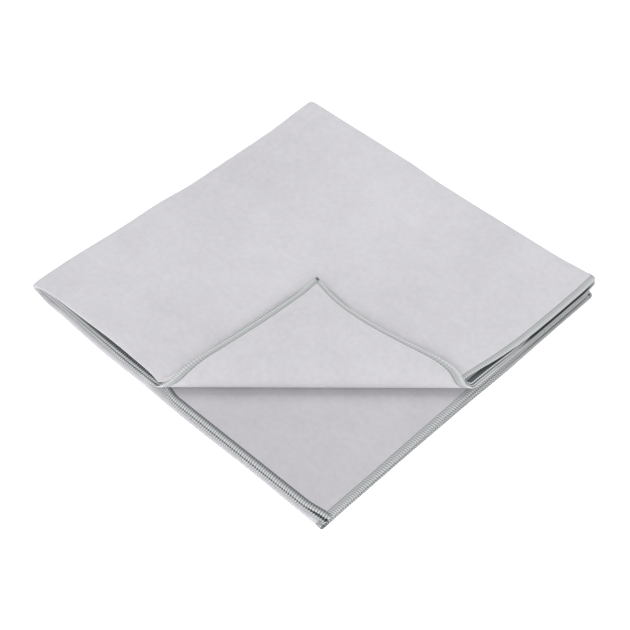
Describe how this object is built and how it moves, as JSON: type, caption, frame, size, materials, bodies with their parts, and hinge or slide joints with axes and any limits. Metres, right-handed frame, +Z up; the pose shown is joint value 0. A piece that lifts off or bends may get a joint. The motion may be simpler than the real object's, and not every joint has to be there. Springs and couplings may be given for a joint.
{
  "type": "quick dry towel",
  "caption": "Rectangular microfibre quick dry towel with overlocked edges, folded to a flat square stack with one corner of its upper half turned back.",
  "frame": {"origin": "centre of the folded square, on the surface it lies on", "axes": "+Z up through the stack; -X is the last fold, +X the long hems; +Y the folds between layers, -Y the first fold and the short hems; the turned corner is at +X -Y"},
  "size_m": [0.3, 0.3, 0.021],
  "materials": {
    "microfibre": "matt suede-like brushed microfibre, light cool grey",
    "overlock_thread": "matt spun thread in close overlock stitches, greenish grey"
  },
  "bodies": {
    "lower_half": {"lower_cloth": "microfibre", "lower_long_hem": "overlock_thread", "lower_short_hem_5": "overlock_thread", "lower_short_hem_6": "overlock_thread", "back_bend_4_5": "microfibre", "back_bend_3_6": "microfibre", "back_bend_2_7": "microfibre", "back_bend_1_8": "microfibre"},
    "upper_half": {"upper_cloth": "microfibre", "upper_long_hem_1_4": "overlock_thread", "upper_long_hem_2_3": "overlock_thread", "upper_short_hem_3": "overlock_thread", "upper_short_hem_4": "overlock_thread", "crease_bend_1": "microfibre", "crease_bend_2": "microfibre", "crease_bend_3": "microfibre", "crease_bend_4": "microfibre"},
    "turned_corner": {"corner_cloth_4": "microfibre", "corner_cloth_3": "microfibre", "corner_cloth_1_2": "microfibre", "corner_long_hem_4": "overlock_thread", "corner_long_hem_3": "overlock_thread", "corner_long_hem_1_2": "overlock_thread", "corner_short_hem_4": "overlock_thread", "corner_short_hem_3": "overlock_thread"}
  },
  "joints": [
    {"name": "top_half_open", "type": "hinge", "parent": "lower_half", "child": "upper_half", "pos_m": [-0.15, 0, 0.0069], "axis": [0, -1, 0], "range_deg": [0, 175], "deforming": ["back_bend_4_5", "back_bend_3_6", "back_bend_2_7", "back_bend_1_8"]},
    {"name": "corner_turn", "type": "hinge", "parent": "upper_half", "child": "turned_corner", "pos_m": [0.068, -0.068, 0.0141], "axis": [0.7071, 0.7071, 0], "range_deg": [0, 180], "deforming": ["crease_bend_1", "crease_bend_2", "crease_bend_3", "crease_bend_4"]}
  ]
}
